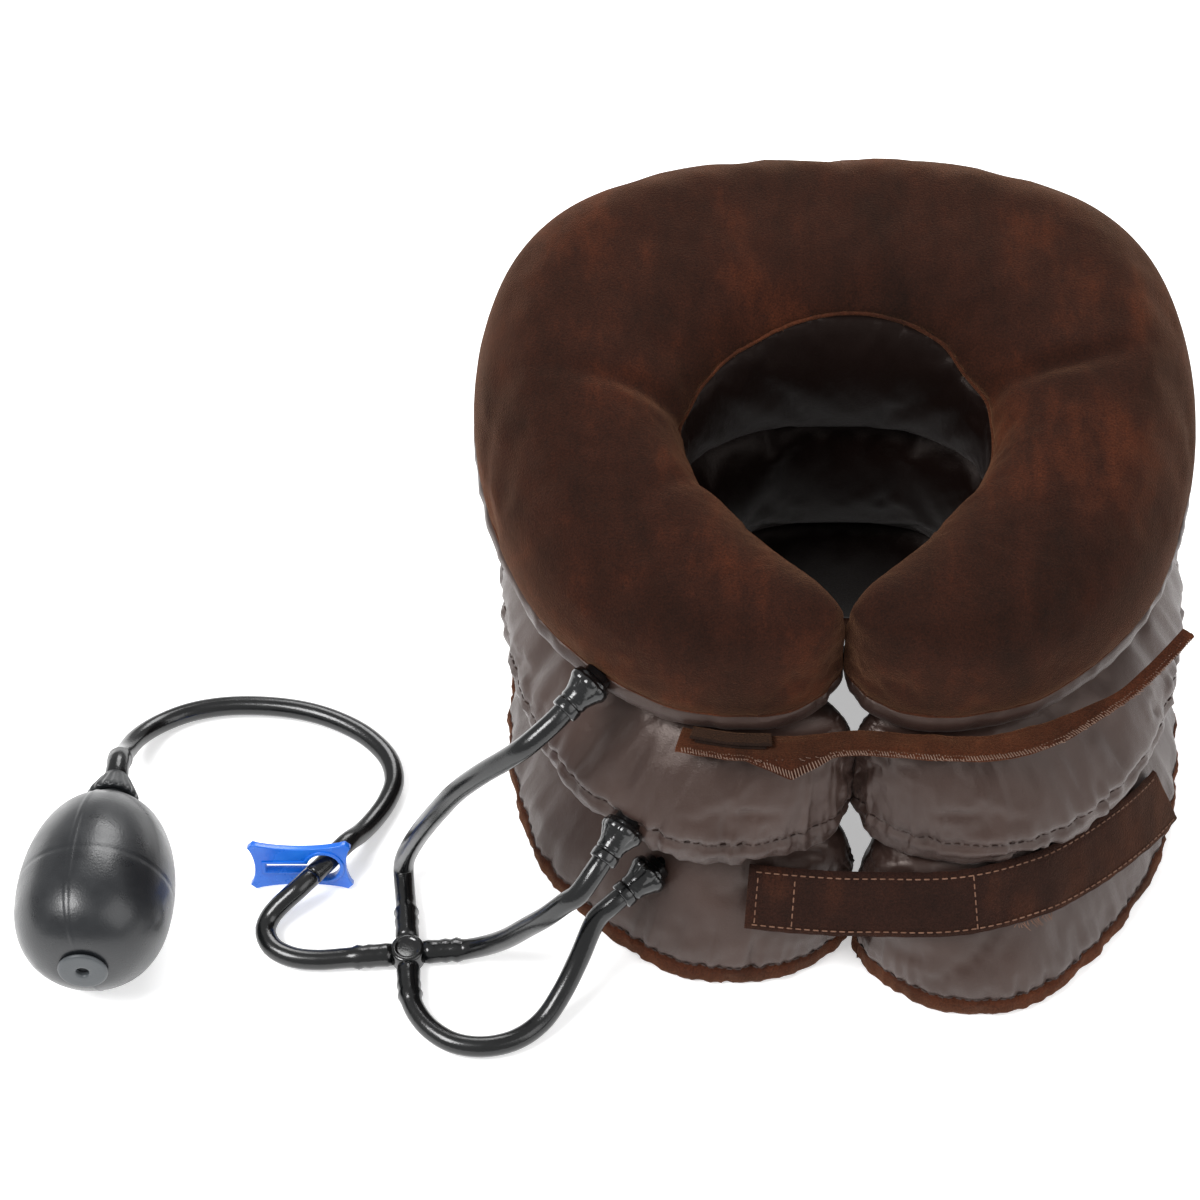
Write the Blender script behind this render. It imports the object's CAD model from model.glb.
"""Looks of the inflatable neck traction collar: cloth, velour, hoses, valves and light, in metres."""
import math
import bmesh
import bpy
import numpy as np
from mathutils import Matrix, Vector, noise


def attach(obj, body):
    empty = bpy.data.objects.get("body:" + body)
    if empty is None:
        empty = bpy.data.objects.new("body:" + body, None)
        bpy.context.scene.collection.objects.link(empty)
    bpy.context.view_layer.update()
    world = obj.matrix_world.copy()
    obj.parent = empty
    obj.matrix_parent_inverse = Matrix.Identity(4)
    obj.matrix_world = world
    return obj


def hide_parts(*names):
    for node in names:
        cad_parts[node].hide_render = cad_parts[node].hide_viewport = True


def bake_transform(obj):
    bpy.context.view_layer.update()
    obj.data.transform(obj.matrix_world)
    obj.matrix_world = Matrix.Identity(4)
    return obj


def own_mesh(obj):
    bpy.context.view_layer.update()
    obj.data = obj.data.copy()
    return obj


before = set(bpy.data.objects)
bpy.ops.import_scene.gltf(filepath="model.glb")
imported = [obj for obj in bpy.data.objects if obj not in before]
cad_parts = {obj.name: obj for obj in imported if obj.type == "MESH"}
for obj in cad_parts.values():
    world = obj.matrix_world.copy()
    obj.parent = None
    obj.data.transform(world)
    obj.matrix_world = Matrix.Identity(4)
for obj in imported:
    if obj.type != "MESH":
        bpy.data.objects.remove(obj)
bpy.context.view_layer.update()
MM = 0.001

# ---------------- the collar's own coordinates
# Outlines below are in millimetres round the neck's axis; SHIFT brings them into the row frame.
SHIFT = Vector((0.08475, 0.0078, 0.0))


def at_neck(x, y, z):
    return Vector((x * MM, y * MM, z * MM)) + SHIFT


def arrays(points):
    return np.asarray(points, float) * MM + np.array(SHIFT)


# ---------------- camera
camera_data = bpy.data.cameras.new("camera")
camera = bpy.data.objects.new("camera", camera_data)
bpy.context.scene.collection.objects.link(camera)
bpy.context.scene.camera = camera
aim_point = at_neck(-68, -6, 80)
view_distance = 1.08
view_down = math.radians(50)
camera.location = aim_point + Vector((0, -math.cos(view_down), math.sin(view_down))) * view_distance
camera.rotation_euler = (math.pi / 2 - view_down, 0, 0)
camera_data.sensor_width = 36
camera_data.lens = 88.5
camera_data.shift_x = -0.05
camera_data.clip_start = 0.05
bpy.context.scene.view_settings.view_transform = "Standard"


# ---------------- meshes
def make(name, points, faces, look=None, slot=None, smooth=True):
    mesh = bpy.data.meshes.new(name)
    mesh.from_pydata([tuple(map(float, p)) for p in points], [], [tuple(map(int, f)) for f in faces])
    mesh.validate()
    mesh.polygons.foreach_set("use_smooth", [smooth] * len(mesh.polygons))
    obj = bpy.data.objects.new(name, mesh)
    bpy.context.scene.collection.objects.link(obj)
    if look is not None:
        mesh.materials.append(look)
    return obj


def grid_faces(rows, columns, start=0, wrap=True):
    faces = []
    for i in range(rows - 1):
        for j in range(columns if wrap else columns - 1):
            k = (j + 1) % columns
            faces.append((start + i * columns + j, start + i * columns + k,
                          start + (i + 1) * columns + k, start + (i + 1) * columns + j))
    return faces


def closed_rows(rows):
    """Points and faces of a tube given as rows of points, with a flat fan over each end."""
    rows = np.asarray(rows, float)
    count, columns = rows.shape[:2]
    points = list(rows.reshape(-1, 3))
    faces = grid_faces(count, columns)
    for row, flip in ((0, True), (count - 1, False)):
        middle = len(points)
        points.append(rows[row].mean(axis=0))
        for j in range(columns):
            a = row * columns + j
            b = row * columns + (j + 1) % columns
            faces.append((b, a, middle) if flip else (a, b, middle))
    return points, faces


def facing_out(obj):
    """Turns every face of a closed mesh outwards."""
    work = bmesh.new()
    work.from_mesh(obj.data)
    bmesh.ops.recalc_face_normals(work, faces=work.faces)
    work.to_mesh(obj.data)
    work.free()
    return obj


def whole(name, rows, look, slot):
    """A closed piece from rows of points in millimetres round the neck's axis."""
    return facing_out(make(name, *closed_rows(arrays(rows)), look, slot))


def join_shapes(shapes):
    points = []
    faces = []
    for some_points, some_faces in shapes:
        start = len(points)
        points.extend(some_points)
        faces.extend([tuple(start + i for i in face) for face in some_faces])
    return points, faces


# ---------------- lines
def catmull(points, shares):
    points = np.asarray(points, float)
    last = len(points) - 1
    place = np.clip(shares, 0, 1) * last
    at = np.minimum(np.floor(place).astype(int), last - 1)
    w = (place - at)[:, None]
    p0 = points[np.maximum(at - 1, 0)]
    p1 = points[at]
    p2 = points[at + 1]
    p3 = points[np.minimum(at + 2, last)]
    m1 = (p2 - p0) / 2
    m2 = (p3 - p1) / 2
    cubic = (2 * p1 - 2 * p2 + m1 + m2) * w ** 3
    return cubic + (3 * p2 - 3 * p1 - 2 * m1 - m2) * w ** 2 + m1 * w + p1


def run_of(line):
    return np.concatenate([[0], np.cumsum(np.linalg.norm(np.diff(line, axis=0), axis=1))])


def between(at, stops, table):
    """Each column of a table of points, read at one or many places along it."""
    return np.stack([np.interp(at, stops, table[:, k]) for k in range(table.shape[1])], axis=-1)


def even(points, shares, dense=3000):
    """Points of a smooth line through the given ones, at these shares of its length."""
    line = catmull(points, np.linspace(0, 1, dense))
    run = run_of(line)
    shares = np.clip(np.asarray(shares, float), 0, 1) * run[-1]
    return between(shares, run, line)


def even_loop(points, count, stretch):
    """Evenly spaced points round a smooth closed line."""
    points = np.asarray(points, float)
    wrapped = np.vstack([points[-1:], points, points[:2]])
    spans = len(wrapped) - 1
    line = catmull(wrapped, np.linspace(1 / spans, (spans - 1) / spans, 2000))
    run = run_of(line * stretch)
    shares = np.linspace(0, run[-1], count, endpoint=False)
    return between(shares, run, line)


# ---------------- tier shapes
TIERS = {
    "lower": dict(
        slit_x=2, left_lobe=0.8, bottom=(0, 0), top=(60, 0), rising=0,
        outer=[(1, -104), (8, -117), (24, -129), (44, -133), (64, -129), (84, -113), (102, -91), (117, -63),
               (126, -27), (127, 8), (122, 42), (110, 71), (89, 90), (58, 101), (28, 105), (0, 106)],
        inner=[(1, -98), (7, -88), (18, -73), (35, -51), (48, -27), (53, -3), (46, 21), (27, 36), (0, 41)],
        section=[(-0.6, 0), (0.85, 0), (1, 0.08), (0.94, 0.22), (0.75, 0.46), (0.52, 0.7), (0.27, 0.9),
                 (0, 1), (-0.6, 1), (-0.94, 0.82), (-1, 0.4), (-0.88, 0.06)]),
    "middle": dict(
        slit_x=-1, left_lobe=1, bottom=(61.4, 0), top=(118, 0.08), rising=0.4,
        outer=[(1, -88), (8, -100), (24, -109), (44, -112), (66, -108), (90, -91), (108, -66), (120, -32),
               (125, 8), (123, 44), (113, 76), (94, 97), (62, 110), (30, 115), (0, 116)],
        inner=[(1, -83), (7, -74), (18, -61), (34, -43), (47, -23), (52, -1), (45, 21), (26, 35), (0, 39)],
        section=[(-0.55, 0), (0.75, 0), (0.98, 0.08), (0.98, 0.27), (0.86, 0.48), (0.66, 0.71), (0.36, 0.91),
                 (0, 1), (-0.6, 1), (-0.94, 0.8), (-1, 0.4), (-0.85, 0.07)]),
    "upper": dict(
        slit_x=-6, left_lobe=1, bottom=(119.4, 0.08), top=(178, 0.22), rising=0.4,
        outer=[(1, -76), (9, -86), (24, -92), (44, -92), (66, -86), (90, -69), (108, -47), (121, -14),
               (127, 20), (126, 52), (117, 80), (98, 101), (66, 115), (32, 121), (0, 122)],
        inner=[(1, -72), (8, -61), (20, -49), (35, -33), (48, -16), (52, 1), (44, 17), (26, 28), (0, 31)],
        section=[(-0.5, 0), (0.75, 0), (0.98, 0.1), (1, 0.33), (0.95, 0.56), (0.8, 0.79), (0.5, 0.96),
                 (0.1, 1), (-0.45, 1), (-0.85, 0.85), (-1, 0.5), (-0.86, 0.08)]),
}
LOBE_LINE = -66


def whole_outline(half, plan):
    right = [(plan["slit_x"] + x, y) for x, y in half]
    left = []
    for x, y in half[-2::-1]:
        forward = LOBE_LINE + (y - LOBE_LINE) * plan["left_lobe"] if y < LOBE_LINE else y
        left.append((plan["slit_x"] - x, forward))
    return right + left


def tier_rings(plan, rings, around, inset=0.0, from_end=0.0):
    """Rows of points round a tier, in millimetres, and each column's side: -1 by the neck, 1 outside."""
    t = np.linspace(0, 1, rings)
    along = t - 0.75 * np.sin(2 * np.pi * t) / (2 * np.pi)
    along = from_end + along * (1 - 2 * from_end)
    outer = even(whole_outline(plan["outer"], plan), along)
    inner = even(whole_outline(plan["inner"], plan), along)
    half = np.maximum(np.linalg.norm(outer - inner, axis=1) / 2, 0.5)
    loop = even_loop(plan["section"], around, np.array([36.0, 58.0]))
    share = loop[None, :, 0] * np.maximum(1 - inset / half, 0.1)[:, None]
    spot = inner[:, None, :] + (outer - inner)[:, None, :] * (0.5 + share / 2)[..., None]
    near_end = np.clip(np.minimum(along, 1 - along) / 0.05, 0, 1)
    fullness = (0.45 + 0.55 * np.sqrt(1 - (1 - near_end) ** 2))[:, None]
    bottom = plan["bottom"][0] + plan["bottom"][1] * spot[..., 1] + inset
    top = plan["top"][0] + plan["top"][1] * spot[..., 1] - inset
    middle = bottom + (top - bottom) * plan["rising"]
    z = middle + (bottom + (top - bottom) * loop[None, :, 1] - middle) * fullness
    return np.concatenate([spot, z[..., None]], axis=2), loop[:, 0]


def row_normals(rows):
    along = np.gradient(rows, axis=0)
    around = np.roll(rows, -1, axis=1) - np.roll(rows, 1, axis=1)
    normals = np.cross(around, along)
    normals /= np.linalg.norm(normals, axis=2, keepdims=True) + 1e-12
    outwards = rows - rows.mean(axis=1, keepdims=True)
    if np.sum(normals * outwards) < 0:
        normals = -normals
    return normals


def smooth_step(value, low, high):
    t = np.clip((value - low) / (high - low), 0, 1)
    return t * t * (3 - 2 * t)


NECK_MIDDLE = np.array([0.0, -6.0])


def crossing(rows, height, outside=True):
    """For each row, where its outer (or neck) side passes a height: index round the row, point and arc."""
    found = []
    count = rows.shape[1]
    for i, row in enumerate(rows):
        centre = row.mean(axis=0)
        level = height(row[:, 0], row[:, 1])
        above = row[:, 2] - level
        best = None
        for j in range(count):
            k = (j + 1) % count
            if (above[j] > 0) != (above[k] > 0):
                w = above[j] / (above[j] - above[k])
                point = row[j] * (1 - w) + row[k] * w
                reach = np.linalg.norm(point[:2] - NECK_MIDDLE) - np.linalg.norm(centre[:2] - NECK_MIDDLE)
                if best is None or (reach > best[0]) == outside:
                    best = (reach, j + w, point)
        found.append(best[1:] if best else None)
    return found


def seam_distance(rows, places):
    """Distance of every point from a seam, along its own row."""
    steps = np.linalg.norm(np.roll(rows, -1, axis=1) - rows, axis=2)
    far = np.full(rows.shape[:2], 1e3)
    count = rows.shape[1]
    for i, place in enumerate(places):
        if place is None:
            continue
        run = np.concatenate([[0], np.cumsum(steps[i])])
        here = np.interp(place[0], np.arange(count + 1), run)
        gap = run[:count] - here
        gap = (gap + run[-1] / 2) % run[-1] - run[-1] / 2
        far[i] = gap
    return far


def ridge(x, y, seed):
    """A ridged wave between about -1.2 and 1."""
    return 1 - 2.2 * abs(noise.noise(Vector((x, y, seed))))


def ripple(rows, along_run, across_run, wave, seed, long_wave=45.0):
    """Ridged folds that run across a seam: narrow along it and long away from it."""
    value = np.zeros(rows.shape[:2])
    for i in range(rows.shape[0]):
        for j in range(rows.shape[1]):
            value[i, j] = ridge(along_run[i] / wave, across_run[i, j] / long_wave, seed)
    return value


# ---------------- looks
def srgb(r, g, b):
    def linear(c):
        c = c / 255
        return c / 12.92 if c <= 0.04045 else ((c + 0.055) / 1.055) ** 2.4
    return (linear(r), linear(g), linear(b), 1)


def look_named(name):
    look = bpy.data.materials.new(name)
    look.use_nodes = True
    tree = look.node_tree
    return look, tree, tree.nodes["Principled BSDF"]


def add(tree, kind, values=None, **settings):
    node = tree.nodes.new(kind)
    for key, value in settings.items():
        setattr(node, key, value)
    for key, value in (values or {}).items():
        socket = node.inputs[key]
        if isinstance(value, bpy.types.NodeSocket):
            tree.links.new(value, socket)
        else:
            socket.default_value = value
    return node


def set_look(tree, shader, values):
    for key, value in values.items():
        if isinstance(value, bpy.types.NodeSocket):
            tree.links.new(value, shader.inputs[key])
        else:
            shader.inputs[key].default_value = value


def spots(tree, scale, detail=3.0, roughness=0.55, stretch=(1, 1, 1)):
    place = add(tree, "ShaderNodeTexCoord")
    turn = add(tree, "ShaderNodeMapping", {"Vector": place.outputs["Object"], "Scale": stretch})
    return add(tree, "ShaderNodeTexNoise", {
        "Vector": turn.outputs["Vector"], "Scale": scale, "Detail": detail, "Roughness": roughness,
    }).outputs["Fac"]


def ramp(tree, factor, stops):
    node = add(tree, "ShaderNodeValToRGB", {"Fac": factor})
    edge = node.color_ramp
    while len(edge.elements) < len(stops):
        edge.elements.new(0.5)
    for element, (place, colour) in zip(edge.elements, stops):
        element.position = place
        element.color = colour
    return node.outputs["Color"]


def bump(tree, height, depth, strength=1.0, under=None):
    values = {"Height": height, "Distance": depth, "Strength": strength}
    if under is not None:
        values["Normal"] = under
    return add(tree, "ShaderNodeBump", values).outputs["Normal"]


def velour_look(name, dark, brown, rust, pile=1500):
    look, tree, shader = look_named(name)
    patches = spots(tree, 16, 4, 0.6)
    strokes = spots(tree, 60, 3, 0.6, (1.6, 0.5, 1))
    mixed = add(tree, "ShaderNodeMix", {0: 0.42, 2: patches, 3: strokes}).outputs[0]
    colour = ramp(tree, mixed, [(0.32, dark), (0.52, brown), (0.76, rust)])
    fibres = spots(tree, pile, 3, 0.7)
    tint = ramp(tree, fibres, [(0.3, (0.45, 0.45, 0.45, 1)), (0.7, (1.5, 1.4, 1.3, 1))])
    worked = add(tree, "ShaderNodeMix", {0: 1.0, 6: colour, 7: tint}, data_type="RGBA", blend_type="MULTIPLY")
    soft = bump(tree, strokes, 0.0012, 0.5)
    set_look(tree, shader, {
        "Base Color": worked.outputs[2], "Roughness": 0.92, "Specular IOR Level": 0.12,
        "Sheen Weight": 0.22, "Sheen Roughness": 0.38, "Sheen Tint": (0.75, 0.36, 0.18, 1),
        "Normal": bump(tree, fibres, 0.0007, 0.75, soft),
    })
    return look


def satin_look(name, dark, light, shine=0.42):
    look, tree, shader = look_named(name)
    cloudy = spots(tree, 22, 3, 0.5)
    plain = ramp(tree, cloudy, [(0.3, dark), (0.7, light)])
    neck = add(tree, "ShaderNodeAttribute", attribute_name="neck_side").outputs["Fac"]
    shade = ramp(tree, neck, [(0.0, (1, 1, 1, 1)), (1.0, (0.16, 0.14, 0.14, 1))])
    gloss = add(tree, "ShaderNodeMapRange", {"Value": neck, "To Min": 0.42, "To Max": 0.1}).outputs[0]
    colour = add(tree, "ShaderNodeMix", {0: 1.0, 6: plain, 7: shade}, data_type="RGBA",
                 blend_type="MULTIPLY").outputs[2]
    threads = spots(tree, 900, 2, 0.6, (1, 1, 7))
    creases = spots(tree, 110, 3, 0.55, (1, 1, 0.28))
    creased = bump(tree, creases, 0.0011, 0.35)
    set_look(tree, shader, {
        "Base Color": colour, "Roughness": shine,
        "Specular IOR Level": gloss, "Specular Tint": (1, 0.86, 0.8, 1),
        "Sheen Weight": 0.06, "Sheen Roughness": 0.35, "Sheen Tint": (0.9, 0.8, 0.78, 1),
        "Normal": bump(tree, threads, 0.00025, 0.4, creased),
    })
    return look


def hard_look(name, colour, worn, roughness, scale=90, grain=0.00012, coat=0.0, **more):
    look, tree, shader = look_named(name)
    cloudy = spots(tree, scale, 4, 0.55)
    fine = spots(tree, 1400, 2, 0.5)
    rough = add(tree, "ShaderNodeMapRange", {
        "Value": cloudy, "From Min": 0.3, "From Max": 0.7,
        "To Min": roughness * 0.8, "To Max": roughness * 1.3,
    }).outputs[0]
    set_look(tree, shader, {
        "Base Color": ramp(tree, cloudy, [(0.35, colour), (0.75, worn)]), "Roughness": rough,
        "Coat Weight": coat, "Coat Roughness": 0.12, "Normal": bump(tree, fine, grain, 0.5), **more,
    })
    return look


velour = velour_look("velour", srgb(25, 12, 7), srgb(42, 20, 12), srgb(76, 37, 20))
edging = velour_look("velour_edging", srgb(40, 21, 14), srgb(64, 34, 21), srgb(92, 51, 32))
strap_pile = velour_look("strap_velour", srgb(26, 15, 12), srgb(38, 21, 16), srgb(64, 35, 23))
satin = satin_look("satin", srgb(43, 30, 26), srgb(57, 42, 37), 0.35)
film = satin_look("air_cell_film", srgb(30, 25, 23), srgb(38, 32, 30), 0.5)
tan_thread = hard_look("tan_thread", srgb(118, 84, 64), srgb(92, 62, 46), 0.8)
pale_thread = hard_look("pale_thread", srgb(122, 98, 84), srgb(88, 64, 52), 0.85)
dark_thread = hard_look("dark_thread", srgb(46, 32, 28), srgb(62, 46, 40), 0.8)
hook_tape = velour_look("hook_tape", srgb(24, 17, 15), srgb(38, 27, 23), srgb(58, 44, 38), 2200)
hose_rubber = hard_look("hose_rubber", srgb(9, 10, 11), srgb(15, 16, 17), 0.2, coat=0.15)
black_plastic = hard_look("black_plastic", srgb(7, 8, 9), srgb(13, 14, 15), 0.16, coat=0.25)
bulb_rubber = hard_look("bulb_rubber", srgb(22, 24, 27), srgb(30, 32, 35), 0.3, coat=0.1)
valve_plastic = hard_look("valve_plastic", srgb(22, 24, 26), srgb(32, 34, 36), 0.34)
pale_plastic = hard_look("pale_valve_plastic", srgb(62, 66, 69), srgb(74, 77, 80), 0.4)
clamp_plastic = hard_look("clamp_plastic", srgb(10, 94, 202), srgb(20, 112, 216), 0.26, coat=0.15)
steel = hard_look("steel", srgb(190, 192, 196), srgb(205, 207, 210), 0.2, Metallic=1.0)


# ---------------- cloth under air pressure
def inflated(name, rows, held, pressure, growth, cap):
    """Rows of a cloth tube after a short simulation under air pressure; held is each point's grip, 0 to 1."""
    points, faces = closed_rows(arrays(rows))
    obj = facing_out(make(name, points, faces))
    group = obj.vertex_groups.new(name="held")
    grip = np.concatenate([held.ravel(), [1.0, 1.0]])
    for index, weight in enumerate(grip):
        if weight > 0.01:
            group.add([index], float(weight), "REPLACE")
    cloth = obj.modifiers.new("cloth", "CLOTH")
    cloth.settings.quality = 5
    cloth.settings.mass = 0.25
    cloth.settings.tension_stiffness = 12
    cloth.settings.compression_stiffness = 12
    cloth.settings.shear_stiffness = 4
    cloth.settings.bending_stiffness = 0.3
    cloth.settings.use_pressure = True
    cloth.settings.uniform_pressure_force = pressure
    cloth.settings.shrink_min = -growth
    cloth.settings.effector_weights.gravity = 0
    cloth.settings.vertex_group_mass = "held"
    cloth.collision_settings.use_collision = False
    frames = 20
    cloth.point_cache.frame_start = 1
    cloth.point_cache.frame_end = frames
    for number in range(1, frames + 1):
        bpy.context.scene.frame_set(number)
    seen = obj.evaluated_get(bpy.context.evaluated_depsgraph_get()).to_mesh()
    moved = np.array([v.co for v in seen.vertices], float)[:rows.shape[0] * rows.shape[1]]
    bpy.context.scene.frame_set(1)
    bpy.data.objects.remove(obj, do_unlink=True)
    shift = (moved.reshape(rows.shape) - arrays(rows)) / MM
    size = np.linalg.norm(shift, axis=2, keepdims=True)
    return shift * cap / (cap + size)


def finer(field, rings, around):
    """A field on coarse rows brought to finer ones."""
    coarse_rings, coarse_around = field.shape[:2]
    at = np.linspace(0, coarse_rings - 1, rings)
    low = np.minimum(np.floor(at).astype(int), coarse_rings - 2)
    w = (at - low)[:, None, None]
    spread = field[low] * (1 - w) + field[low + 1] * w
    round_at = np.arange(around) * coarse_around / around
    low = np.floor(round_at).astype(int) % coarse_around
    w = (round_at - np.floor(round_at))[None, :, None]
    return spread[:, low] * (1 - w) + spread[:, (low + 1) % coarse_around] * w


RINGS = 440
AROUND = 112
SIM_RINGS = 132
SIM_AROUND = 52


def tier_cloth(key, seams, held_flat, pressure, growth, cap):
    """A tier's cloth in millimetres: rows, normals, running length, seam distances and column sides."""
    plan = TIERS[key]
    rows, sides = tier_rings(plan, RINGS, AROUND)
    coarse = tier_rings(plan, SIM_RINGS, SIM_AROUND)[0]
    normals = row_normals(coarse)
    held = held_flat * smooth_step(np.abs(normals[..., 2]), 0.75, 0.98)
    for height, outside in seams:
        gap = np.abs(seam_distance(coarse, crossing(coarse, height, outside)))
        held = np.maximum(held, 1 - smooth_step(gap, 1.5, 5))
    held[:2] = 1
    held[-2:] = 1
    shift = inflated(key + "_trial", coarse, held, pressure, growth, cap)
    flat = smooth_step(np.abs(normals[..., 2]), 0.6, 0.95) * held_flat
    shift *= (1 - 0.85 * flat)[..., None]
    rows = rows + finer(shift, RINGS, AROUND)
    normals = row_normals(rows)
    run = run_of(rows[:, AROUND // 4])
    distances = [seam_distance(rows, crossing(rows, height, outside)) for height, outside in seams]
    return rows, normals, run, distances, sides


def pressed(rows, normals, depth):
    return rows + normals * depth[..., None]


# ---------------- strap courses
LOWER_STRAP = [(-37.4, -112.6, 44.8), (-22, -114.6, 45), (-5, -116.4, 45.6), (10, -118.2, 48),
               (24, -120.2, 50.6),                (36, -120.2, 51.8), (48, -117.6, 51.4),
               (60, -112.2, 49.2), (72, -105, 46), (86, -93.4, 41.6),                (99.5, -80, 36.8),
               (110, -67, 31), (118.6, -54.4, 25.4)]
UPPER_STRAP = [(-62, -96, 112.2), (-42, -100.5, 113), (-20, -100.5, 113.2), (0, -98.5, 113.2),
               (24, -100.5, 113.2),                (44, -100.5, 113.2), (62, -96, 114), (78, -86, 115),
               (92, -76, 117), (104, -65, 120.5),                (112, -58, 125)]


class Course:
    """A flat strap's middle line with its sideways and inward directions, in millimetres."""

    def __init__(self, points, lean, width, count=260):
        self.shares = np.linspace(0, 1, count)
        self.centre = even(points, self.shares)
        ahead = np.gradient(self.centre, axis=0)
        ahead[:, 2] = 0
        ahead /= np.linalg.norm(ahead, axis=1, keepdims=True)
        inward = np.stack([-ahead[:, 1], ahead[:, 0], np.zeros(count)], axis=1)
        lean = math.radians(lean)
        up = np.array([0, 0, 1.0])
        self.across = inward * math.sin(lean) + up * math.cos(lean)
        self.normal = inward * math.cos(lean) - up * math.sin(lean)
        self.ahead = ahead
        self.width = width
        self.length = run_of(self.centre)[-1]

    def point(self, share, across, inwards):
        """A point on the strap and its outward direction."""
        middle, side, deep = (between(share, self.shares, table)
                              for table in (self.centre, self.across, self.normal))
        return middle + side * across + deep * inwards, -deep


lower_course = Course(LOWER_STRAP, 31, 25)
upper_course = Course(UPPER_STRAP, 104, 17)


def make_room(rows, course, side, gap, pad_gap, pad_end):
    """Cloth pushed back from a strap, to a gap from its middle; side 1 is the strap's inward side."""
    flat = rows.reshape(-1, 3).copy()
    low = course.centre.min(axis=0) - 25
    high = course.centre.max(axis=0) + 25
    near = np.where(np.all((flat > low) & (flat < high), axis=1))[0]
    for index in near:
        offset = flat[index] - course.centre
        k = int(np.argmin(np.abs((offset * course.ahead).sum(axis=1)) + 0.3 * np.linalg.norm(offset, axis=1)))
        if k in (0, len(course.shares) - 1) and abs(offset[k] @ course.ahead[k]) > 2:
            continue
        reach = abs(offset[k] @ course.across[k])
        deep = (offset[k] @ course.normal[k]) * side
        needed = pad_gap if course.shares[k] < pad_end else gap
        if reach > course.width / 2 + 7 or deep > needed or deep < -10:
            continue
        share = 1 - float(smooth_step(reach, course.width / 2 + 1.5, course.width / 2 + 7))
        flat[index] += course.normal[k] * side * (needed - deep) * share
    return flat.reshape(rows.shape)


# ---------------- tiers
GROUND = (0, 0, 0)
LOWER = ("middle_tier_drop", GROUND)
MIDDLE = ("middle_tier_drop", (0, 0, 61.4 * MM))
UPPER = ("upper_tier_drop", (0, 0, 122 * MM))
CLOTH = 0.9
CELL_INSET = 8.5
CELL_FROM_END = 0.035
STRAP_GAP = 1.3
PAD_GAP = 3.5
EDGE_HEIGHT = 9.0
HEM_HEIGHT = 74.0


def settle(obj, body):
    """The piece rides a body and flattens with a tier."""
    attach(obj, body)
    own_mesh(obj)


def end_gathers(run, rows, wave, seed):
    """Folds that gather towards both ends of a tier's arms."""
    near = np.exp(-np.minimum(run, run[-1] - run) / 22)[:, None]
    heights = rows[..., 2]
    value = np.zeros(rows.shape[:2])
    for i in range(rows.shape[0]):
        if near[i, 0] < 0.03:
            continue
        for j in range(rows.shape[1]):
            value[i, j] = ridge(heights[i, j] / wave, run[i] / 50, seed)
    return value * near


def snapped(rows, places):
    """Rows whose nearest point to each seam lies on it."""
    rows = rows.copy()
    for i, place in enumerate(places):
        if place is not None:
            rows[i, int(round(place[0])) % rows.shape[1]] = place[1]
    return rows


def split_rows(name, rows, above, sides, look, slot, body, node):
    """One piece of a tier's cloth: the faces that lie on the positive side of a seam."""
    points, faces = closed_rows(arrays(rows))
    height = above.ravel()
    real = len(height)
    kept = [face for face in faces if sum(height[k] for k in face if k < real) > 0]
    obj = make(name, points, kept, look, slot)
    columns = np.clip((-0.2 - sides) / 0.5, 0, 1)
    inner = np.concatenate([np.tile(columns, len(rows)), [0.5, 0.5]])
    obj.data.attributes.new("neck_side", "FLOAT", "POINT").data.foreach_set("value", inner.astype(np.float32))
    loose_free(obj)
    thickness = obj.modifiers.new("thickness", "SOLIDIFY")
    thickness.thickness = CLOTH * MM
    thickness.offset = -1
    settle(obj, body)
    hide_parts(node)
    return obj


def loose_free(obj):
    work = bmesh.new()
    work.from_mesh(obj.data)
    bmesh.ops.delete(work, geom=[v for v in work.verts if not v.link_faces], context="VERTS")
    bmesh.ops.recalc_face_normals(work, faces=work.faces)
    work.to_mesh(obj.data)
    work.free()


def level(at_zero, slope=0.0):
    return lambda x, y: at_zero + slope * y



def seam_folds(rows, run, gap, sink, width, *ridges):
    """A seam's groove and two kinds of folds beside it, each with height, reach, wave, seed and length."""
    near = np.abs(gap) < 60
    folds = [height * ripple(rows, run, gap, wave, seed, length) * np.exp(-np.abs(gap) / reach)
             for height, reach, wave, seed, length in ridges]
    return -sink * np.exp(-(gap / width) ** 2) * near + (folds[0] + folds[1]) * near


# lower tier: satin over a velour edging that turns up from the base
edge_line = level(EDGE_HEIGHT)
rows, normals, run, gaps, sides = tier_cloth(
    "lower", [(edge_line, True)], held_flat=1.0, pressure=3.5, growth=0.035, cap=4.0)
depth = seam_folds(rows, run, gaps[0], 1.1, 1.7, (1.1, 18, 6.0, 3.1, 45.0), (0.6, 11, 3.6, 7.7, 30.0))
depth += 0.9 * end_gathers(run, rows, 6.0, 1.7)
lower_rows = pressed(rows, normals, depth * (1 - smooth_step(-normals[..., 2], 0.75, 0.95)))
lower_rows = make_room(lower_rows, lower_course, 1, STRAP_GAP, PAD_GAP, 0.19)
lower_rows[..., 2] = np.clip(lower_rows[..., 2], 0.15, 60.6)
lower_seam = crossing(lower_rows, edge_line)
neck_seam = crossing(lower_rows, edge_line, False)
lower_rows = snapped(snapped(lower_rows, lower_seam), neck_seam)
lower_normals = row_normals(lower_rows)
over_seam = lower_rows[..., 2] - EDGE_HEIGHT
split_rows("lower_tier_satin", lower_rows, over_seam, sides, satin, "satin", "lower_tier",
           "lower_tier_cover")
split_rows("lower_tier_velour", lower_rows, -over_seam, sides, edging, "velour", "lower_tier",
           "lower_velour_base")

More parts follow.
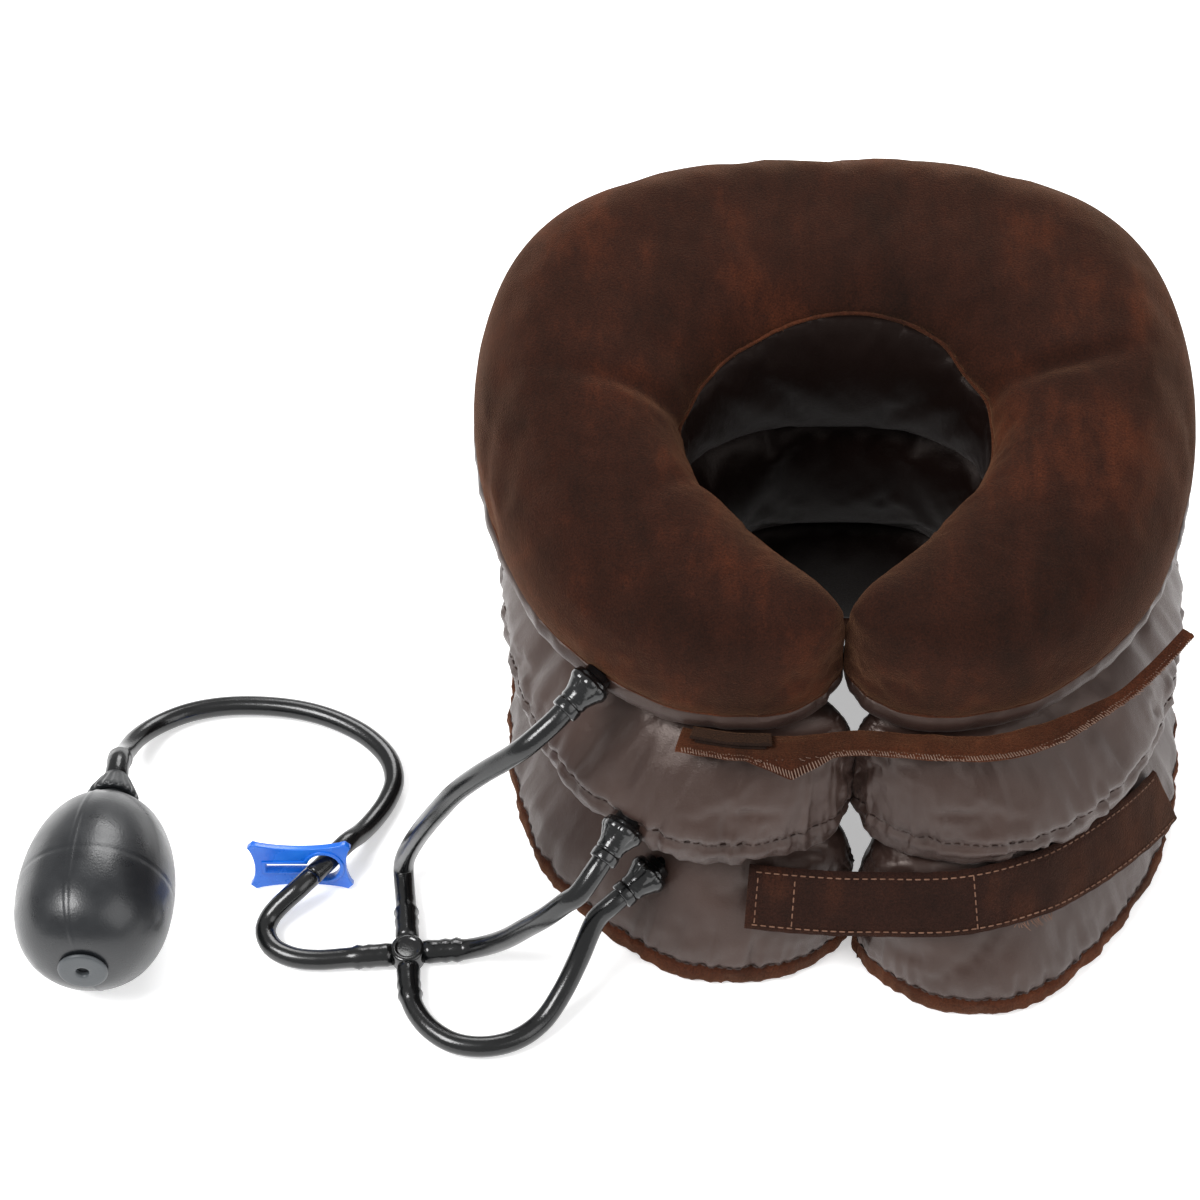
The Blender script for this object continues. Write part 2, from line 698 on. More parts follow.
# middle tier: satin with a stitched hem line
hem_line = level(HEM_HEIGHT)
rows, normals, run, gaps, sides = tier_cloth(
    "middle", [(hem_line, True)], held_flat=1.0, pressure=3.5, growth=0.04, cap=4.0)
depth = seam_folds(rows, run, gaps[0], 1.3, 1.8, (1.3, 20, 6.5, 13.4, 45.0), (0.7, 13, 3.8, 17.2, 30.0))
depth += 1.5 * end_gathers(run, rows, 7.0, 4.2)
flat = smooth_step(np.abs(normals[..., 2]), 0.8, 0.97)
middle_rows = pressed(rows, normals, depth * (1 - flat))
middle_rows = make_room(middle_rows, lower_course, 1, STRAP_GAP, PAD_GAP, 0.19)
middle_rows = make_room(middle_rows, upper_course, 1, STRAP_GAP, STRAP_GAP, 0)
middle_rows[..., 2] = np.maximum(middle_rows[..., 2], 61.0)
middle_normals = row_normals(middle_rows)
middle_seam = crossing(middle_rows, hem_line)
everywhere = np.ones(middle_rows.shape[:2])
split_rows("middle_tier_satin", middle_rows, everywhere, sides, satin, "satin", "middle_tier",
           "middle_tier_cover")

# upper tier: velour on top, satin below and on the neck side
velour_line = level(134, 0.13)


def neck_line(x, y):
    """The seam on the neck side: low beside the neck and arched at the nape."""
    back = np.clip(y, 0, 31) / 31
    arch = 8 * (1 - np.clip(x / 38, -1, 1) ** 2) * smooth_step(y, 0, 22)
    return 158 + np.where(y > 0, 14 * back ** 1.1 + arch, 0.3 * y)


rows, normals, run, gaps, sides = tier_cloth(
    "upper", [(velour_line, True), (neck_line, False)], held_flat=0.5, pressure=3.0, growth=0.014, cap=3.0)
gap, neck_gap = gaps
folds = ripple(rows, run, gap, 8.0, 23.4)
outside = np.abs(gap) < 70
depth = -1.0 * np.exp(-(gap / 1.8) ** 2) * outside
depth += np.where(gap > 0, 0.25, 0.9) * folds * np.exp(-np.abs(gap) / 10) * outside
depth += -1.0 * np.exp(-(neck_gap / 2.0) ** 2)
depth += 0.3 * ripple(rows, run, neck_gap, 11.0, 27.0) * np.exp(-np.abs(neck_gap) / 14)
depth += 1.0 * end_gathers(run, rows, 9.0, 8.8)
creases = [((-72, 7), (-1, 0.25), 30, 2.6), ((60, 15), (1, 0.12), 24, 2.2), ((80, 19), (1, 0.3), 22, 1.8),
           ((-58, -26), (-0.8, -0.5), 20, 1.5)]
for (x, y), (dx, dy), length, deep in creases:
    run_x = (rows[..., 0] - x) * dx + (rows[..., 1] - y) * dy
    off = -(rows[..., 0] - x) * dy + (rows[..., 1] - y) * dx
    depth -= deep * np.exp(-(off / 4.0) ** 2 - (run_x / length) ** 2) * (normals[..., 2] > 0.1)
under = smooth_step(-normals[..., 2], 0.8, 0.97)
upper_rows = pressed(rows, normals, depth * (1 - under))
upper_rows = make_room(upper_rows, upper_course, -1, STRAP_GAP, PAD_GAP, 0.18)
upper_seam = crossing(upper_rows, velour_line)
upper_rows = snapped(snapped(upper_rows, upper_seam), crossing(upper_rows, neck_line, False))
upper_normals = row_normals(upper_rows)
spot_x, spot_y = upper_rows[..., 0], upper_rows[..., 1]
on_neck_side = sides[None, :] < 0
seam_height = np.where(on_neck_side, neck_line(spot_x, spot_y), velour_line(spot_x, spot_y))
over_seam = upper_rows[..., 2] - seam_height
split_rows("upper_tier_velour", upper_rows, over_seam, sides, velour, "velour", "upper_tier",
           "upper_velour_panel")
split_rows("upper_tier_satin", upper_rows, -over_seam, sides, satin, "satin", "upper_tier",
           "upper_tier_cover")

# air cells inside the covers
for key, tier in (("lower", LOWER), ("middle", MIDDLE), ("upper", UPPER)):
    cell_rows = tier_rings(TIERS[key], 80, 32, CELL_INSET, CELL_FROM_END)[0]
    cell = whole(key + "_cell", cell_rows, film, "air_cell")
    settle(cell, key + "_tier")
    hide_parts(key + "_air_cell")


# ---------------- stitches
def stitch(start, end, radius, lift=Vector((0, 0, 0))):
    """A short thread from one point to the next, as a six-sided bar with pointed ends."""
    start = Vector(start) + lift
    end = Vector(end) + lift
    direction = (end - start).normalized()
    side = direction.orthogonal().normalized()
    other = direction.cross(side)
    points = [start]
    for share in (0.12, 0.88):
        middle = start.lerp(end, share)
        for corner in range(6):
            angle = corner * math.pi / 3
            points.append(middle + (side * math.cos(angle) + other * math.sin(angle)) * radius)
    points.append(end)
    faces = []
    for corner in range(6):
        after = (corner + 1) % 6
        faces.append((0, 1 + after, 1 + corner))
        faces.append((1 + corner, 1 + after, 7 + after, 7 + corner))
        faces.append((7 + corner, 7 + after, 13))
    return points, faces


def stitches_along(name, line, normals, look, slot, length=2.3, pause=1.0, radius=0.28, out=0.15):
    """Stitches on a line given in metres with a normal at each point; sizes are in millimetres."""
    line = np.asarray(line, float)
    normals = np.asarray(normals, float)
    run = run_of(line) / MM
    shapes = []
    begin = 0.6
    while begin + length < run[-1]:
        lift = Vector(between(begin, run, normals)) * out * MM
        start, end = (between(place, run, line) for place in (begin, begin + length))
        shapes.append(stitch(start, end, radius * MM, lift))
        begin += length + pause
    return make(name, *join_shapes(shapes), look, slot)


def seam_line(rows, normals, places):
    count = rows.shape[1]
    points = []
    directions = []
    for i, place in enumerate(places):
        if place is None or i < 4 or i > len(places) - 5:
            continue
        j = int(place[0]) % count
        points.append(place[1])
        directions.append(normals[i, j])
    return arrays(points), directions


for name, rows, normals, places, body, tier in (
        ("middle_hem_stitches", middle_rows, middle_normals, middle_seam, "middle_tier", MIDDLE),
        ("lower_edge_stitches", lower_rows, lower_normals, lower_seam, "lower_tier", LOWER)):
    line, directions = seam_line(rows, normals, places)
    settle(stitches_along(name, line, directions, dark_thread, "satin"), body)


def smoothed(line, rounds=6):
    for turn in range(rounds):
        line = np.vstack([line[:1], (line[:-2] + 2 * line[1:-1] + line[2:]) / 4, line[-1:]])
    return line


def piping(name, rows, normals, places, radius, sink):
    """A thin rolled edge of cloth along a seam of the upper tier."""
    line, directions = seam_line(rows, normals, places)
    line = smoothed(line / MM - np.array(SHIFT) / MM)
    shape = tube(line - np.array(directions) * sink, lambda gone, whole_length: radius, 8, 1.6)[:2]
    settle(facing_out(make(name, *shape, edging, "velour")), "upper_tier")


# ---------------- hoses
HOSE = 3.8
ARM_RADIUS = 2.35
HUB = (-159.5, -110, 4.4)
HUB_TURN = math.radians(5)
CLAMP_HOLE = (-192, -75.7, 11.2)
BULB_FRONT = (-270.5, -134, 31)
BULB_TILT = math.radians(5)
BULB_AXIS = Vector((0, math.cos(BULB_TILT), -math.sin(BULB_TILT)))
FITTINGS = {
    "upper_tier": ((-89.3, -75.9, 122.9), (-0.7, -0.65, -0.36)),
    "middle_tier": ((-79, -99.6, 71.7), (-0.55, -0.75, -0.37)),
    "lower_tier": ((-69.2, -97.2, 40.6), (-0.76, -0.6, -0.25)),
}


def away(start, direction, distance):
    spot = Vector(start) + Vector(direction).normalized() * distance
    return tuple(spot)


def hub_arm(quarter, distance):
    angle = HUB_TURN + quarter * math.pi / 2
    return away(HUB, (math.cos(angle), math.sin(angle), 0), distance)


def through_clamp(distance):
    return away(CLAMP_HOLE, (0.62, 0.78, 0), distance)


def fitting_end(name, distance):
    return away(*FITTINGS[name], 17 + distance)


def bulb_point(distance):
    return away(BULB_FRONT, BULB_AXIS, distance)


ROUTES = {
    "hose_to_upper_tier": [
        fitting_end("upper_tier", -3), fitting_end("upper_tier", 5), (-113, -95, 109.5), (-120, -95, 102),
        (-130, -93, 90), (-139, -90, 76), (-147, -86.5, 59), (-154, -82, 41), (-159, -77.5, 25),
        (-162, -74.5, 13), (-163, -74.5, 6.5), (-162.5, -80, 4.2), (-161.5, -88, 4.2), hub_arm(1, 14),
        hub_arm(1, 5.6)],
    "hose_to_middle_tier": [
        fitting_end("middle_tier", -3), fitting_end("middle_tier", 4), (-96, -120.5, 58), (-101, -121, 53),
        (-108, -120, 43), (-115, -117, 32), (-122, -114, 21), (-129, -111, 12), (-137, -108.8, 5.6),
        hub_arm(0, 15), hub_arm(0, 5.6)],
    "hose_to_lower_tier": [
        fitting_end("lower_tier", -3), fitting_end("lower_tier", 4), (-91, -113, 30), (-97, -122, 19),
        (-103, -131, 11), (-110, -139.5, 5.6), (-119, -146, 4), (-130, -149, 4), (-141, -147.5, 4),
        (-150, -141.5, 4), (-156, -133, 4), hub_arm(3, 15), hub_arm(3, 5.6)],
    "hub_to_clamp": [
        hub_arm(2, 5.6), hub_arm(2, 15), (-183, -112, 4.2), (-192, -112.6, 4), (-201, -111.5, 4),
        (-208.5, -107.5, 4), (-212, -101, 4.2), (-211, -95.5, 5.2), (-207.3, -91.4, 7.6), through_clamp(-13),
        through_clamp(-6.0)],
    "clamp_to_bulb": [
        through_clamp(6.0), through_clamp(13), (-179.6, -58.4, 7.4), (-175, -49.8, 4.8), (-171, -41, 4),
        (-169, -31.5, 4), (-172, -21, 4), (-180.5, -11, 4), (-192, -3.5, 4), (-205, 1.5, 4), (-220, 4, 4),
        (-236, 4, 4), (-250, 1, 4), (-261, -5.5, 5), (-268, -15, 8.5), (-270.6, -26, 14),
        bulb_point(97.8), bulb_point(90.3), bulb_point(88.5)],
}


def tube(route, radius_at, sides=24, step=2.0):
    """Points, faces and ring centres of a hose along a route in millimetres."""
    length = run_of(catmull(route, np.linspace(0, 1, 2000)))[-1]
    count = max(6, int(length / step))
    line = even(route, np.linspace(0, 1, count))
    tangents = np.gradient(line, axis=0)
    tangents /= np.linalg.norm(tangents, axis=1, keepdims=True)
    side = Vector(tangents[0]).orthogonal().normalized()
    rows = []
    for i, centre in enumerate(line):
        forward = Vector(tangents[i])
        side = (side - forward * side.dot(forward)).normalized()
        other = forward.cross(side)
        radius = radius_at(i * length / (count - 1), length)
        angles = np.arange(sides) * 2 * np.pi / sides
        rows.append([Vector(centre) + (side * math.cos(a) + other * math.sin(a)) * radius for a in angles])
    points, faces = closed_rows(arrays(rows))
    return points, faces, arrays(line), length * MM


def barbed(distance, length, far=True, near=False):
    """A hose's radius, stretched over the barbs of the arm at its end."""
    radius = HOSE
    ends = ([length - distance] if far else []) + ([distance] if near else [])
    for gone in ends:
        for barb in (3.0, 7.5, 12.0):
            radius += 0.75 * math.exp(-((gone - barb) / 1.15) ** 2)
        radius += 0.2 * (1 - smooth_step(gone, 12, 17))
    return float(radius)


hoses = {}
for name, route in ROUTES.items():
    near_hub = name == "hub_to_clamp"
    points, faces, path, length = tube(
        route, lambda gone, whole_length: barbed(gone, whole_length, far=not near_hub, near=near_hub))
    hose = facing_out(make(name + "_tube", points, faces, hose_rubber, "hose"))
    hoses[name] = (hose, path, length)

stretch = [through_clamp(distance) for distance in (-6.0, -2, 2, 6.0)]
points, faces, path, length = tube(stretch, lambda gone, whole_length: HOSE, step=1.0)
pinched = facing_out(make("pinched_stretch", points, faces, hose_rubber, "hose"))

neck_places = crossing(upper_rows, neck_line, False)
piping("upper_neck_seam", upper_rows, upper_normals, neck_places, 0.75, 0.2)
piping("upper_outer_seam", upper_rows, upper_normals, upper_seam, 0.6, 0.3)


# ---------------- turned and moulded pieces
def lathe(profile, segments, bend=None):
    """Points and faces turned about +Z; bend(angle, r, z) returns another radius."""
    rows = []
    for r, z in profile:
        ring = []
        for s in range(segments):
            angle = 2 * math.pi * s / segments
            radius = bend(angle, r, z) if bend else r
            ring.append((radius * math.cos(angle), radius * math.sin(angle), z))
        rows.append(ring)
    return closed_rows(np.asarray(rows) * MM)


def aimed(obj, start, direction, roll=0.0):
    turn = Vector((0, 0, 1)).rotation_difference(Vector(direction).normalized()).to_matrix().to_4x4()
    obj.data.transform(Matrix.Translation(at_neck(*start)) @ turn @ Matrix.Rotation(roll, 4, "Z"))
    return obj


def rounded_profile(corners, step=0.35):
    """Corners [r, z] with extra points so that shading keeps its edges."""
    profile = []
    for a, b in zip(corners[:-1], corners[1:]):
        gap = math.dist(a, b)
        share = min(0.25, step / gap) if gap > 0 else 0
        for t in (share, 1 - share):
            profile.append((a[0] + (b[0] - a[0]) * t, a[1] + (b[1] - a[1]) * t))
    return [corners[0], *profile, corners[-1]]


def turned(name, profile, segments, look, slot, place, bend=None, roll=0.0):
    """A turned piece with its foot at a place and its axis along a direction."""
    shape = lathe(rounded_profile(profile), segments, bend)
    return aimed(facing_out(make(name, *shape, look, slot)), *place, roll)


def six_lobes(angle, r, z):
    if 2.0 < z < 8.5 and r > 5:
        lobe = abs(math.cos(3 * angle))
        return r * (1 + 0.13 * (lobe ** 0.6 - 0.6) * min(1, (r - 5) / 1.5))
    return r


NUT = [(3.6, 17), (4.8, 16.8), (5.0, 16), (5.0, 13.5), (4.7, 13.2), (4.7, 12.4), (5.0, 12.1), (5.0, 10.4),
       (5.6, 8.6),        (6.6, 6.2), (7.4, 5.2), (7.5, 3.2), (6.9, 2.6), (6.9, 1.4), (5.2, 1.0),
       (5.0, -1.5), (0.4, -1.5)]
STEM = [(1.3, -6), (3.1, -6), (3.1, -4.8), (2.6, -4.6), (2.6, 12), (1.3, 12)]
for name, place in FITTINGS.items():
    body = "lower_inlet" if name == "lower_tier" else name
    nut = turned(name + "_nut", NUT, 72, black_plastic, "fitting", place, six_lobes, 0.3)
    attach(nut, body)
    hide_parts(name + "_fitting_nut")
    stem = aimed(facing_out(make(name + "_stem", *lathe(STEM, 32), black_plastic, "fitting")), *place)
    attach(stem, body)
    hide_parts(name + "_spigot")

DISC = [(0.3, -4.2), (5.6, -4.2), (6.2, -3.6), (6.2, 3.4), (5.5, 4.1), (4.3, 4.1), (3.9, 3.7), (0.3, 3.7)]
hub = turned("hub_disc", DISC, 64, black_plastic, "fitting", (HUB, (0, 0, 1)))
arm_shapes = []
for quarter in range(4):
    points, faces, path, length = tube([hub_arm(quarter, 3), hub_arm(quarter, 8), hub_arm(quarter, 14.6)],
                                       lambda gone, whole_length: ARM_RADIUS, 16, 1.5)
    arm_shapes.append((points, faces))
arms = facing_out(make("hub_arms", *join_shapes(arm_shapes), black_plastic, "fitting"))
for piece in (hub, arms):
    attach(piece, "lower_tier")
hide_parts("cross_connector")

# ---------------- bulb and valves
BULB = [(6.2, 0.4), (12.5, 1.4), (18.5, 4.5), (23.3, 10), (26.6, 18), (27.9, 28), (27.8, 38), (26.4, 48),
        (23.6, 57.5), (19.4, 65.5), (14, 71.5), (9.6, 74.6), (6.2, 76.4)]
bulb_line = even(BULB, np.linspace(0, 1, 110))


def bulb_marks(angle, r, z):
    """The raised mould seam on two sides and a faint ring round the waist."""
    across = abs(math.sin(angle - math.radians(80))) * r
    radius = r + 0.38 * math.exp(-(across / 0.5) ** 2)
    return radius - 0.22 * math.exp(-((z - 33) / 0.6) ** 2)


WALL = 2.4
inner_line = [(max(r - WALL, 3), 35 + (z - 35) * 0.93) for r, z in bulb_line[::-4]]
bulb_profile = [tuple(p) for p in bulb_line] + inner_line
bulb = make("bulb_wall", *lathe(bulb_profile, 180, bulb_marks), bulb_rubber, "bulb")
aimed(facing_out(bulb), BULB_FRONT, BULB_AXIS, math.radians(180))
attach(bulb, "lower_tier")
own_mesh(bulb)
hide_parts("bulb_shell")


def valve(name, profile, look, body, node, bend=None, segments=64):
    piece = turned(name, profile, segments, look, "valve", (BULB_FRONT, BULB_AXIS), bend)
    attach(piece, body)
    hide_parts(node)


INLET = [(2.2, 6), (2.2, -1.2), (2.8, -1.75), (5.2, -1.6), (8.1, -1.6), (8.8, -1.0), (8.9, -0.2),
         (5.8, 0.6),          (5.8, 9), (3.0, 9), (3.0, 6)]
OUTLET = [(1.2, 66), (5.8, 66), (5.8, 76.8), (7.3, 77), (7.3, 78.4), (5, 78.6), (5, 86), (2.4, 86.6),
          (2.4, 96.6),           (1.2, 96.6)]
CAP = [(5.5, 79), (8.2, 78.1), (9.3, 78.4), (9.4, 79.4), (8.9, 81), (7.4, 84), (6.0, 87),
       (5.0, 88.6),        (4.9, 89.4), (3.9, 89.9), (3.0, 89.8)]
valve("inlet_disc", INLET, pale_plastic, "inlet_valve", "inlet_valve_insert")
valve("outlet_stem", OUTLET, valve_plastic, "lower_tier", "outlet_valve_body")


def ribbed(angle, r, z):
    return r * (1 + 0.035 * math.cos(18 * angle)) if 78.5 < z < 88 and r > 5.6 else r


valve("release_cap", CAP, valve_plastic, "release_valve_cap", "release_valve_cap", ribbed, 144)
for node in ("inlet_valve_ball", "outlet_valve_ball"):
    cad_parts[node].data.materials.clear()
    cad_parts[node].data.materials.append(steel)

# ---------------- pinch clamp
CLAMP_X = 8.5


def clamp_edge(count=14):
    x, y, waist = 19.0, 11.0, 2.4
    corners = [(-x + 2, -y), (x - 2, -y), (x, -y + 2), (x, y - 2),
               (x - 2, y), (-x + 2, y), (-x, y - 2), (-x, -y + 2)]
    bows = {0: (0, waist), 2: (-2.2, 0), 4: (0, -waist), 6: (2.2, 0)}
    edge = []
    for k, corner in enumerate(corners):
        after = corners[(k + 1) % 8]
        bow = bows.get(k)
        for s in range(count if bow else 3):
            t = s / (count if bow else 3)
            shift = math.sin(math.pi * t) ** 0.7 if bow else 0
            edge.append((corner[0] + (after[0] - corner[0]) * t + (bow[0] if bow else 0) * shift,
                         corner[1] + (after[1] - corner[1]) * t + (bow[1] if bow else 0) * shift))
    return edge


def keyhole(radius, half, reach, count=28):
    mouth = math.asin(half / radius)
    ring = []
    for s in range(count + 1):
        angle = math.pi - mouth - (2 * math.pi - 2 * mouth) * s / count
        ring.append((CLAMP_X + radius * math.cos(angle), radius * math.sin(angle)))
    return ring + [(CLAMP_X - reach, -half), (CLAMP_X - reach, half)]


def plate(name, outline, hole, thickness, look):
    """A flat plate with one hole, cut by a curve's own filling."""
    curve = bpy.data.curves.new(name, "CURVE")
    curve.dimensions = "2D"
    curve.fill_mode = "BOTH"
    curve.extrude = thickness / 2 * MM
    curve.bevel_depth = 0.35 * MM
    curve.bevel_resolution = 3
    curve.offset = -0.35 * MM
    for loop in (outline, hole):
        spline = curve.splines.new("POLY")
        spline.points.add(len(loop) - 1)
        for point, (x, y) in zip(spline.points, loop):
            point.co = ((x - CLAMP_X) * MM, y * MM, 0, 1)
        spline.use_cyclic_u = True
    held = bpy.data.objects.new(name, curve)
    bpy.context.scene.collection.objects.link(held)
    mesh = bpy.data.meshes.new_from_object(held.evaluated_get(bpy.context.evaluated_depsgraph_get()))
    bpy.data.objects.remove(held, do_unlink=True)
    obj = bpy.data.objects.new(name, mesh)
    bpy.context.scene.collection.objects.link(obj)
    mesh.materials.clear()
    mesh.materials.append(look)
    return obj


clamp_lean = math.pi / 2 - math.radians(12)
clamp_turn = Matrix.Translation(at_neck(*CLAMP_HOLE)) @ Matrix.Rotation(clamp_lean, 4, "X")
clamp = plate("clamp_plate", clamp_edge(), keyhole(6.0, 1.6, 21), 1.9, clamp_plastic)
clamp_rim = plate("clamp_rim", keyhole(7.7, 3.0, 22.6), keyhole(6.2, 1.8, 21.2), 3.0, clamp_plastic)
for piece in (clamp, clamp_rim):
    piece.data.transform(clamp_turn)
    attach(piece, "pinch_clamp")
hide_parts("pinch_clamp")

# ---------------- hoses bend, lie and are declared
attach(pinched, "lower_tier")
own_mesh(pinched)
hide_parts("supply_hose_pinch_section")
for name, moving in (("hose_to_upper_tier", "upper_tier"), ("hose_to_middle_tier", "middle_tier"),
                     ("hose_to_lower_tier", "lower_inlet")):
    hose, path, length = hoses[name]
    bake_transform(hose)
    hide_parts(name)
for name, node, touching in (("hub_to_clamp", "supply_hose_hub_side", [[pinched, clamp, clamp_rim]]),
                             ("clamp_to_bulb", "supply_hose_bulb_side", [])):
    hose, path, length = hoses[name]
    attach(hose, "lower_tier")
    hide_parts(node)


# ---------------- straps
def strap_rows(course, half, groove, wave, seed, flap=None, narrow=None, draw=0.0):
    """Rows round a strap with sewn-down edges; flap and draw move its front edge, narrow its back one."""
    rows = []
    reach = course.width / 2
    sides = np.linspace(-1, 1, 21)
    for k, share in enumerate(course.shares):
        run = share * course.length
        extra = flap(share) if flap else 0.0
        lift = wave * noise.noise(Vector((run / 20, seed, 0)))
        row = []
        back = narrow(share) if narrow else 1.0
        for face in (1, -1):
            for t in sides * face:
                edge = 0.3 * noise.noise(Vector((run / 5, seed, t)))
                out = reach + edge + (extra - draw if t < 0 else 0)
                u = t * out * (back if t > 0 else 1)
                inset = out - abs(u)
                thick = half * math.sqrt(max(0.0, 1 - max(0.0, 1 - inset / 1.1) ** 2))
                puff = 0.28 * (1 - math.exp(-((inset - groove) / 0.9) ** 2)) * min(1, inset / 1.5)
                local = 0.35 * noise.noise(Vector((run / 9, u / 7, seed + 4)))
                drop = extra * 0.5 * max(0.0, -t) ** 3
                deep = lift + local + drop - face * (thick + puff * 0.9)
                row.append(course.centre[k] + course.across[k] * u + course.normal[k] * deep)
        rows.append(row)
    return np.asarray(rows)


def sewn_line(name, course, path, out, look, length, pause, radius):
    """Stitches along a path of (share, across) pairs on a strap's outer face."""
    spots = np.array(path, float)
    shares = np.linspace(0, 1, 200)
    rule = even(np.column_stack([spots[:, 0] * course.length, spots[:, 1]]), shares)
    found = [course.point(run / course.length, across, -out) for run, across in rule]
    line = arrays([spot for spot, outwards in found])
    return stitches_along(name, line, [outwards for spot, outwards in found], look, "strap",
                          length, pause, radius, 0.1)


lower_strap = whole("lower_strap_cloth", strap_rows(lower_course, 0.8, 2.4, 0.5, 2.0), strap_pile, "strap")
settle(lower_strap, "lower_strap")
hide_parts("lower_strap")
edge = lower_course.width / 2 - 2.3
rows_of_thread = {
    "front_topstitch": [(0.01, -edge), (0.3, -edge), (0.7, -edge), (0.99, -edge)],
    "back_topstitch": [(0.01, edge), (0.3, edge), (0.7, edge), (0.99, edge)],
    "end_cross_stitch": [(0.018, -edge), (0.018, edge)],
    "box_cross_stitch": [(0.088, -edge), (0.088, edge)],
    "middle_cross_stitch": [(0.43, -edge - 1), (0.43, edge + 1)],
}
for name, path in rows_of_thread.items():
    sewn = sewn_line("lower_strap_" + name, lower_course, path, 1.0, tan_thread, 2.2, 0.9, 0.27)
    settle(sewn, "lower_strap")


def front_flap(share):
    return 6.5 * max(0.0, 1 - abs(share - 0.2) / 0.075)


def back_edge(share):
    return 1 - 0.92 * float(smooth_step(share, 0.6, 0.85))


upper_strap_rows = strap_rows(upper_course, 0.8, 2.0, 0.3, 6.0, front_flap, back_edge, 4.0)
upper_strap = whole("upper_strap_cloth", upper_strap_rows, edging, "strap")
settle(upper_strap, "upper_strap")
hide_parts("upper_strap")
overlock = []
run = 2.0
turn = 0
while run < upper_course.length - 2:
    share = run / upper_course.length
    front = 4.0 - upper_course.width / 2 - front_flap(share)
    depth_in = 1.5 + 0.9 * noise.noise(Vector((turn * 1.9, 4.4, 0)))
    start, out = upper_course.point(share, front + depth_in, -1.05 + 0.5 * front_flap(share) / 3)
    end, out = upper_course.point(min(1, share + 0.8 / upper_course.length), front - 0.25,
                                  -0.2 + 0.5 * front_flap(share))
    overlock.append(stitch(at_neck(*start), at_neck(*end), 0.2 * MM))
    run += 0.95 + 0.25 * noise.noise(Vector((turn * 0.7, 1.2, 0)))
    turn += 1
overlock_edge = make("upper_strap_overlock", *join_shapes(overlock), pale_thread, "strap")
settle(overlock_edge, "upper_strap")


def frayed(name, course, ends, across, reach, look, count, seed):
    """Loose thread ends that stand away from a strap's edge."""
    shapes = []
    for k in range(count):
        pick = noise.noise(Vector((k * 1.37, seed, 0.4)))
        tilt = noise.noise(Vector((k * 0.91, seed, 5.4)))
        share = ends[0] + (ends[1] - ends[0]) * (k + 0.5 + pick) / count
        start, out = course.point(min(max(share, 0), 1), across, -0.5)
        leaning = min(max(share + tilt * 0.02, 0), 1)
        sideways = course.point(leaning, across + reach * (0.6 + tilt), -0.9 - abs(pick))
        shapes.append(stitch(at_neck(*start), at_neck(*sideways[0]), 0.11 * MM))
    return make(name, *join_shapes(shapes), look, "strap")


strap_fray = frayed("lower_strap_loose_threads", lower_course, (0.5, 0.58), -12.4, -3.0, tan_thread, 22, 3.0)
settle(strap_fray, "lower_strap")
edge_fray = frayed("upper_strap_loose_threads", upper_course, (0.03, 0.97), -4.5, -1.6, pale_thread, 90, 8.0)
settle(edge_fray, "upper_strap")


def pad_rows(course, ends, width, inwards, aside):
    """Rows round a thin patch of hook or loop tape."""
    rows = []
    for share in np.linspace(*ends, 34):
        row = []
        for face in (1, -1):
            for t in np.linspace(-face, face, 11):
                round_edge = math.sqrt(max(0.0, 1 - max(0.0, abs(t) - 0.9) ** 2 / 0.01))
                depth_in = inwards - face * 0.45 * round_edge
                row.append(course.point(share, aside + t * width / 2, depth_in)[0])
        rows.append(row)
    return rows


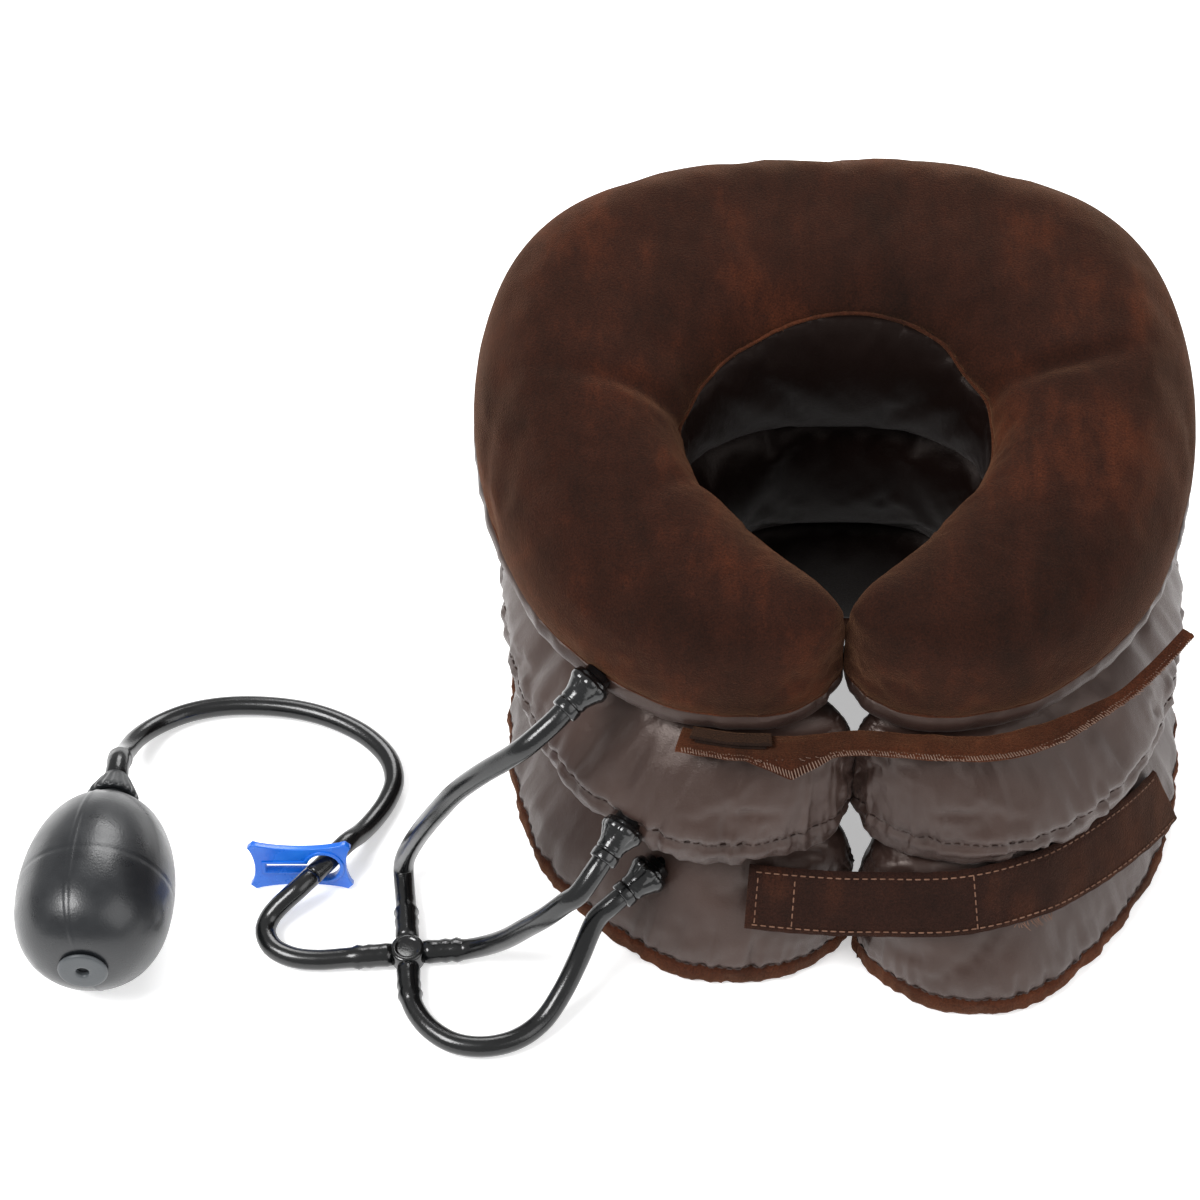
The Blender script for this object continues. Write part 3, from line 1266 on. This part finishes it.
for name, course, ends, width, inwards, aside, body, tier in (
        ("lower_strap_hook_pad", lower_course, (0.03, 0.17), 18, 1.55, 0.0, "lower_strap", LOWER),
        ("lower_strap_loop_pad", lower_course, (0.02, 0.18), 18, 2.75, 0.0, "lower_tier", LOWER),
        ("upper_strap_hook_pad", upper_course, (0.03, 0.16), 7, -1.55, 3.5, "upper_strap", UPPER),
        ("upper_strap_loop_pad", upper_course, (0.02, 0.17), 7, -2.75, 3.5, "upper_tier", UPPER)):
    patch = whole(name + "_tape", pad_rows(course, ends, width, inwards, aside), hook_tape, "hook_pad")
    settle(patch, body)
    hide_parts(name)

# ---------------- joining webs
for name, above in (("lower_joining_web", "middle"), ("upper_joining_web", "upper")):
    start, slope = TIERS[above]["bottom"]
    web_plan = dict(TIERS[above], bottom=(start - 1.0, slope), top=(start - 0.4, slope), rising=0.5)
    web_plan["section"] = [(-0.6, 0), (0.1, 0), (0.6, 0), (0.62, 0.5), (0.6, 1), (0.1, 1), (-0.6, 1),
                           (-0.62, 0.5)]
    web = whole(name + "_cloth", tier_rings(web_plan, 120, 24, 0.0, 0.06)[0], film, "web")
    if above == "upper":
        settle(web, "upper_tier")
    else:
        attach(web, "middle_tier")
    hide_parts(name)
# ---------------- floor and light
floor = make("floor", [(-30, -30, 0), (30, -30, 0), (30, 30, 0), (-30, 30, 0)], [(0, 1, 2, 3)])
paper, tree, shader = look_named("paper")
grain = spots(tree, 6, 3, 0.5)
pale = ramp(tree, grain, [(0.3, (0.94, 0.94, 0.94, 1)), (0.7, (0.97, 0.97, 0.97, 1))])
set_look(tree, shader, {"Base Color": pale, "Roughness": 0.85, "Specular IOR Level": 0.1,
                        "Emission Color": (1, 1, 1, 1), "Emission Strength": 0.42})
floor.data.materials.append(paper)
floor.location.z = -0.0008
world = bpy.data.worlds.new("world")
bpy.context.scene.world = world
world.use_nodes = True
world.node_tree.nodes["Background"].inputs["Color"].default_value = (1, 1, 1, 1)
world.node_tree.nodes["Background"].inputs["Strength"].default_value = 0.55


def soft_light(name, place, size, power):
    data = bpy.data.lights.new(name, "AREA")
    data.shape = "RECTANGLE"
    data.size = size
    data.size_y = size
    data.energy = power
    lamp = bpy.data.objects.new(name, data)
    bpy.context.scene.collection.objects.link(lamp)
    lamp.location = place
    lamp.rotation_euler = (aim_point - Vector(place)).to_track_quat("-Z", "Y").to_euler()


soft_light("key_light", (-0.9, -0.5, 1.5), 0.7, 26)
soft_light("fill_light", (1.1, -0.7, 1.0), 1.2, 9)
soft_light("back_light", (0.1, 1.2, 1.1), 0.8, 14)

bpy.context.view_layer.update()
